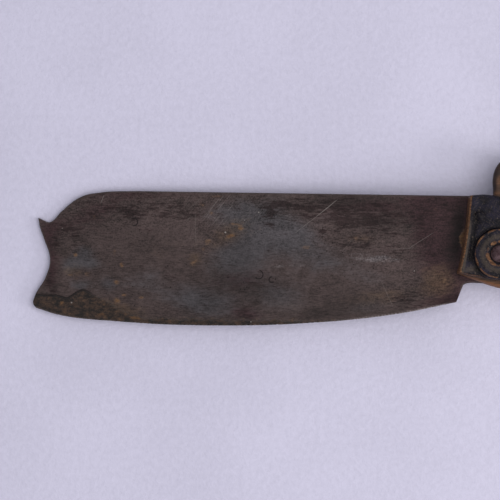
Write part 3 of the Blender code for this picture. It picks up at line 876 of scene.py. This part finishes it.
def dents(x, y):
    """The gouges and the raised chip above the boss."""
    across, up = x - 3.4, y + 10.2
    turn = np.degrees(np.arctan2(up, across))
    arc = ridge(np.hypot(across, up), 2.6, 0.42) * ease(turn, 5, 40) * ease(-turn, -175, -140)
    gouges = 0.8 * arc + 1.0 * bump_at(x, y, (2.7, -12.0), (2.0, 0.8), -42)
    gouges += 0.5 * bump_at(x, y, (5.6, -11.6), (1.6, 0.6), -50)
    gouges += 0.35 * bump_at(x, y, (7.5, -6.5), (1.8, 0.5), 60)
    return gouges, bump_at(x, y, (3.8, -10.0), (1.5, 0.9), -35)


def horn_height(x, y, inset, seed):
    """How high the cheek's outer face stands, without its bores: lip, groove, boss seat and dents."""
    back = behind_front(x, y)
    to_boss = np.hypot(x - BOSS_AT[0], y - BOSS_AT[1])
    at_lip = ease(-back, -4.0, -2.0)
    height = HORN_OUTER - rounding(inset, 2.1 - 1.0 * at_lip)
    height -= 0.35 * ease(-inset, -9.0, -1.0) * (1 - at_lip)
    height -= 0.8 * lip_groove(y, back)
    gouges, chip = dents(x, y)
    height -= 0.75 * gouges - 0.5 * chip
    height -= 0.6 * ridge(to_boss, COUNTERBORE + 1.0, 0.7) * (0.55 + 0.45 * ease(-y, 26, 34))
    free = ease(inset, 0.4, 2.0)
    height += free * (0.22 * lumps(x, y, (7, 5), seed) + 0.09 * lumps(x, y, 2.2, seed + 3))
    lowest = BOSS_SEAT - 0.8 * (to_boss > COUNTERBORE + 0.3)
    return np.where(to_boss < COUNTERBORE - 0.05, BOSS_SEAT, np.maximum(height, lowest))


def make_cheek(side, sign, axes, material):
    rim = outline(HORN, HORN_RIM_STEP)

    def surface(x, y, inset):
        top = horn_height(x, y, inset, 20.0 + 10 * sign)
        bottom = HORN_INNER + 0.25 * rounding(inset, 0.4)
        return (top, bottom) if sign > 0 else (-bottom, -top)

    guides = [ring(BOSS_AT, COUNTERBORE + gap, 0.5) for gap in (-0.35, -0.1, 0.0, 0.35, 0.7, 1.0, 1.35, 1.8)]
    for at in GRIP_RIVETS.values():
        guides.append(ring(at, GRIP_WASHER + 0.4, 0.7))
    insets = (0.15, 0.4, 0.75, 1.2, 1.7, 2.3)
    mesh = bored(relief(f"cheek_{side}", rim, surface, HORN_STEP, insets, guides, wall_rows=7, bulge=0.12))
    x, y, z = spots(mesh)
    points = np.column_stack([x, y])
    to_rim = distance(points, rim)
    back = behind_front(x, y)
    to_boss = np.hypot(x - BOSS_AT[0], y - BOSS_AT[1])
    outer = ease(z * sign, HORN_INNER + 1.0, HORN_OUTER - 1.5)
    lip = ease(-back, -1.5, -0.5)
    wear = (0.62 + 0.3 * lumps(x, y, 3.0, 47.0)) * lip + 0.45 * ease(-to_rim, -1.2, -0.2) * outer
    wear += 0.5 * bump_at(x, y, (2.0, -14.0), (1.5, 0.4), -40) + 0.25 * lumps(x, y, (14, 8), 40.0 + sign)
    # dirt and painted shade: darker in the lip's groove, round the counterbore and the grip washers, in the
    # gouges, and low on the edge where the cheek meets the wood
    grime_and_crevice_shade = 0.95 * lip_groove(y, back) + 0.8 * ridge(to_boss, COUNTERBORE + 0.7, 0.5)
    grime_and_crevice_shade += 0.6 * ease(-outer, -0.4, 0.0) + 0.8 * dents(x, y)[0]
    for at in GRIP_RIVETS.values():
        grime_and_crevice_shade += 0.6 * ridge(np.hypot(x - at[0], y - at[1]), GRIP_WASHER + 0.3, 0.5)
    dust = 0.3 * bump_at(x, y, (3.8, -10.0), (1.6, 1.0), -35) + 0.45 * bump_at(x, y, (0.0, -33.5), (5, 2.0))
    dust += 0.9 * ridge(back, 1.3, 0.6) * ease(-y, 8, 16)
    paint(mesh, "wear", np.clip(wear, 0, 1))
    paint(mesh, "grime_and_crevice_shade", np.clip(grime_and_crevice_shade, 0, 1))
    paint(mesh, "dust", np.clip(dust, 0, 1))
    return place(mesh, axes, material, f"horn_cheek_{side}")


def make_scale(side, sign, axes, material):
    rim = outline(WOOD, WOOD_RIM_STEP)
    horn_rim = outline(HORN, WOOD_RIM_STEP)

    def surface(x, y, inset):
        under_horn = inside(np.column_stack([x, y]), horn_rim)
        top = WOOD_OUTER - rounding(inset, 1.5)
        top = top - np.where(under_horn, 0.0, 0.12 + 0.12 * lumps(x, y, (6, 3), 50.0 + sign))
        bottom = WOOD_INNER + 0.3 * rounding(inset, 0.5)
        return (top, bottom) if sign > 0 else (-bottom, -top)

    insets = (0.15, 0.4, 0.8, 1.3)
    mesh = relief(f"scale_{side}", rim, surface, WOOD_STEP, insets, [horn_rim], wall_rows=5, bulge=0.25)
    mesh = bored(mesh)
    x, y, z = spots(mesh)
    points = np.column_stack([x, y])
    to_rim, to_horn = distance(points, rim), distance(points, horn_rim)
    on_lobe = ease(y, -1.0, 4.0)
    wear = 0.5 * ease(-to_rim, -1.4, -0.2) * (1 - 0.8 * on_lobe) + 0.5 * bump_at(x, y, (12, -40), (14, 4))
    wear += 0.3 * bump_at(x, y, (15.5, 5.0), (3.5, 5.0))
    # dirt and painted shade: darker where the horn edge sits, by the inner face against the tang and on the
    # lobe's edges; the lobe is also darker overall
    grime_and_crevice_shade = 0.55 * ease(-to_horn, -0.9, -0.1) + 0.7 * on_lobe * ease(-to_rim, -1.9, -0.4)
    grime_and_crevice_shade += 0.5 * ease(-(z * sign), -(WOOD_INNER + 1.0), -WOOD_INNER)
    grime_and_crevice_shade += 0.3 * on_lobe + 0.4 * ease(y, 6.0, 12.0)
    paint(mesh, "wear", np.clip(wear, 0, 1))
    paint(mesh, "grime_and_crevice_shade", np.clip(grime_and_crevice_shade, 0, 1))
    return place(mesh, axes, material, f"wood_scale_{side}")


def washer_profile(knots, spacing, sign):
    """A washer's closed profile through its knots, as radius and height, flipped for the right side."""
    corners = np.array([(r, z) for r, z, passing in knots if passing == C])
    points = resample(drawn_line(knots), corners, spacing)
    profile = np.vstack([points, points[:1]])
    return profile if sign > 0 else profile[::-1] * (1, -1)


def hand_made(mesh, size, seed):
    """Moves the points of a turned piece a little, as filing and hammering leave it."""
    x, y, z = spots(mesh)
    radius = np.hypot(x, y) + 1e-6
    swell = 1 + size * lumps(x, y, 4.0, seed) / radius.max()
    z = z + size * 0.6 * lumps(x, y, 2.4, seed + 5) * np.sign(z)
    move_spots(mesh, x * swell, y * swell, z)


def at_spot(axes, spot):
    return axes @ Matrix.Translation((spot[0] * MM, spot[1] * MM, 0.0))


def make_boss_washer(side, sign, axes, material):
    low = BOSS_SEAT + LAYER_GAP
    hole = BOSS_SHANK + BORE_PLAY
    knots = [
        (hole, low + 1.5, C), (3.6, low + 1.7, S), (4.6, low + 2.3, S), (5.3, low + 2.85, S),
        (6.4, low + 2.8, S), (8.2, low + 2.25, S), (9.6, low + 1.9, S), (10.3, low + 1.95, S),
        (10.9, low + 1.6, S), (BOSS_WASHER, low + 0.9, S), (BOSS_WASHER - 0.1, low, C), (hole, low, C),
    ]
    mesh = turned(f"boss_washer_{side}", washer_profile(knots, BOSS_PROFILE_STEP, sign), steps=160)
    x, y, z = spots(mesh)
    radius = np.hypot(x, y)
    top = z * sign > low + 0.5
    lift = 0.12 * lumps(x, y, 3.4, 60.0 + sign) * ease(radius, hole, hole + 2.0)
    z = np.where(top, z + sign * lift, z)
    wobble = 1 + 0.02 * lumps(x / radius * 4, y / radius * 4, 2.0, 63.0) * ease(radius, 8.0, 10.0)
    wobble = np.minimum(wobble, 1.012)
    move_spots(mesh, x * wobble, y * wobble, z)
    turn = np.degrees(np.arctan2(y, x))
    rubbed = 0.45 + 0.45 * ridge(turn, 120, 35) + 0.4 * ridge(turn, -150, 40)
    wear = rubbed * (ridge(radius, 10.75, 0.5) + 1.1 * ridge(radius, 5.3, 0.9))
    wear *= 1.0 + 1.1 * lumps(x, y, 2.6, 66.0)
    paint(mesh, "wear", np.clip(wear, 0, 1))
    # dirt and painted shade in the crevice round the rivet's head
    paint(mesh, "grime_and_crevice_shade", ridge(radius, hole + 1.2, 0.7))
    paint(mesh, "dust", 0.5 * ridge(radius, 7.6, 1.6))
    return place(mesh, at_spot(axes, BOSS_AT), material, f"boss_washer_{side}")


def make_rivet(node, spot, shank, head, under, rise, axes, material):
    dome = [
        (0.0, under + rise, C), (head * 0.45, under + rise * 0.88, S), (head * 0.8, under + rise * 0.58, S),
        (head * 0.97, under + rise * 0.22, S), (head * 0.96, under, C), (shank, under, C), (shank, 0.0, C),
    ]
    half = drawn_line(dome, closed=False)
    profile = np.vstack([half, (half * (1, -1))[::-1][1:]])
    mesh = turned(node, profile)
    hand_made(mesh, 0.09, spot[0])
    x, y, _ = spots(mesh)
    paint(mesh, "wear", 0.55 * ease(np.hypot(x, y), head * 0.75, head))
    return place(mesh, at_spot(axes, spot), material, node)


def make_grip_washer(place_name, side, sign, axes, material):
    low = HORN_OUTER + LAYER_GAP
    high = low + GRIP_WASHER_THICK
    hole = GRIP_SHANK + BORE_PLAY
    knots = [
        (hole, high, C), (GRIP_WASHER - 1.2, high - 0.02, S), (GRIP_WASHER - 0.35, high - 0.18, S),
        (GRIP_WASHER, low + 0.3, S), (GRIP_WASHER - 0.05, low, C), (hole, low, C),
    ]
    node = f"grip_washer_{place_name}_{side}"
    mesh = turned(node, washer_profile(knots, GRIP_PROFILE_STEP, sign))
    x, y, _ = spots(mesh)
    rubbed = ease(np.hypot(x, y), GRIP_WASHER - 0.9, GRIP_WASHER)
    paint(mesh, "wear", np.clip(0.5 * rubbed + 0.3 * lumps(x, y, 3.0, 70.0), 0, 1))
    return place(mesh, at_spot(axes, GRIP_RIVETS[place_name]), material, node)


# ---- Stage ----

def make_stage():
    """Pale paper under the knife, a wide lamp above, a low one by the pommel, and weak light all round."""
    mesh = bpy.data.meshes.new("floor")
    corners = [(PAPER_REACH * a, PAPER_REACH * b, 0.0) for a, b in ((-1, -1), (1, -1), (1, 1), (-1, 1))]
    mesh.from_pydata(corners, [], [(0, 1, 2, 3)])
    floor = bpy.data.objects.new("floor", mesh)
    bpy.context.scene.collection.objects.link(floor)
    paper = Shader("floor_paper")
    fleck = paper.noise(2.6, detail=5.0, roughness=0.65)
    shade = paper.step(paper.add(fleck, paper.noise(60.0, seed=4.0)), 0.6, 1.4, 0.94, 1.06)
    colour = paper.shade(PAPER_COLOUR, shade)
    mesh.materials.append(paper.finish(colour, 0.9, 0.0, paper.bump(fleck, 0.4), specular=0.1))

    world = bpy.data.worlds.new("studio")
    world.use_nodes = True
    sky = world.node_tree.nodes["Background"]
    sky.inputs["Color"].default_value = SKY_COLOUR
    sky.inputs["Strength"].default_value = SKY_STRENGTH
    bpy.context.scene.world = world

    for name, spot, size, watts in LAMPS:
        light = bpy.data.lights.new(name, "AREA")
        light.shape = "DISK"
        light.size = size
        light.energy = watts
        light.color = LAMP_COLOUR
        lamp = bpy.data.objects.new(name, light)
        lamp.location = spot
        lamp.rotation_euler = (Vector(LAMPS_LOOK_AT) - Vector(spot)).to_track_quat("-Z", "Y").to_euler()
        bpy.context.scene.collection.objects.link(lamp)


def make_camera(axes):
    """Straight above the blade, so near that the handle is cropped, and turned a little."""
    camera = bpy.data.cameras.new("camera")
    camera.angle = 2 * math.atan(VIEW_WIDTH / 2 / CAMERA_HEIGHT)
    camera.clip_start = 0.05
    eye = bpy.data.objects.new("camera", camera)
    seen = axes @ Vector((AIM[0] * MM, AIM[1] * MM, 0.0))
    along = axes.to_3x3() @ Vector((1.0, 0.0, 0.0))
    eye.location = seen + Vector((0.0, 0.0, CAMERA_HEIGHT * MM))
    eye.rotation_euler = (0.0, 0.0, math.atan2(along.y, along.x) + math.radians(CAMERA_TURN))
    bpy.context.scene.collection.objects.link(eye)
    bpy.context.scene.camera = eye


def main():
    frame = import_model()
    axes = knife_axes(frame["record"])
    bpy.context.scene.view_settings.view_transform = "Standard"
    make_camera(axes)
    make_stage()

    steel, horn, wood, iron = steel_material(), horn_material(), wood_material(), iron_material()
    make_blade(axes, steel)
    for side, sign in (("left", 1), ("right", -1)):
        make_scale(side, sign, axes, wood)
        make_cheek(side, sign, axes, horn)
        make_boss_washer(side, sign, axes, horn)
        for place_name in GRIP_RIVETS:
            make_grip_washer(place_name, side, sign, axes, iron)
    boss_under = BOSS_SEAT + BOSS_WASHER_THICK + 2 * LAYER_GAP
    make_rivet("boss_rivet", BOSS_AT, BOSS_SHANK, BOSS_HEAD, boss_under, BOSS_HEAD_RISE, axes, iron)
    grip_under = HORN_OUTER + 2 * LAYER_GAP + GRIP_WASHER_THICK
    for place_name, spot in GRIP_RIVETS.items():
        node = f"grip_rivet_{place_name}"
        make_rivet(node, spot, GRIP_SHANK, GRIP_HEAD, grip_under, GRIP_HEAD_RISE, axes, iron)


main()
